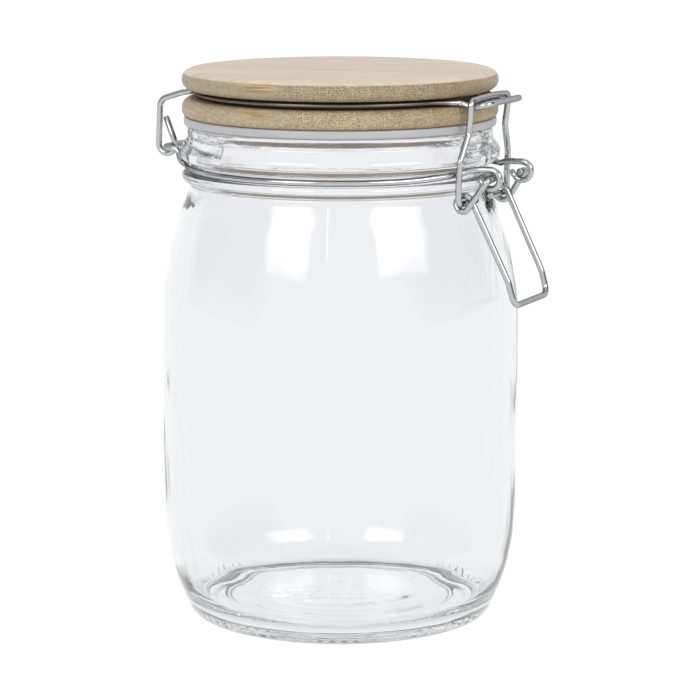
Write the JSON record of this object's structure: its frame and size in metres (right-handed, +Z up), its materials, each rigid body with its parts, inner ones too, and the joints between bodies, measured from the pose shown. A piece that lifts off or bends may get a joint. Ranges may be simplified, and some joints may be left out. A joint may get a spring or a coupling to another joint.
{
  "type": "clip top storage jar",
  "caption": "Clear glass storage jar with a turned bamboo lid on a wire hinge, a silicone gasket and a wire lever latch that pulls the lid down",
  "frame": {"origin": "on the surface the jar stands on, under the middle of the bounds; the jar's own axis of turning is the vertical line X = -0.00369 m, Y = 0", "axes": "+Z up the jar, +X out through the latch, -X out through the lid's hinge, and the hinge and latch pivots run along Y"},
  "size_m": [0.1222, 0.1104, 0.1687],
  "materials": {
    "clear_glass": "polished clear glass",
    "bamboo": "fine sanded, unvarnished",
    "silicone": "milky translucent",
    "steel_wire": "drawn bright wire"
  },
  "bodies": {
    "jar": {"glass_jar": "clear_glass", "neck_wire": "steel_wire"},
    "lid": {"bamboo_lid": "bamboo", "gasket": "silicone", "lid_wire": "steel_wire"},
    "lever": {"lever": "steel_wire"},
    "yoke": {"yoke": "steel_wire"}
  },
  "joints": [
    {"name": "lid_hinge", "type": "hinge", "parent": "jar", "child": "lid", "pos_m": [-0.05709, 0, 0.1436], "axis": [0, -1, 0], "range_deg": [0, 195]},
    {"name": "lever_pivot", "type": "hinge", "parent": "jar", "child": "lever", "pos_m": [0.05161, 0, 0.1389], "axis": [0, -1, 0], "range_deg": [0, 120], "deforming": ["yoke"]},
    {"name": "yoke_pivot", "type": "hinge", "parent": "lever", "child": "yoke", "pos_m": [0.04401, 0, 0.1316], "axis": [0, -1, 0], "range_deg": [-120, 0]}
  ],
  "couplings": [
    {"joint": "yoke_pivot", "follows": "lever_pivot", "ratio": -1}
  ]
}
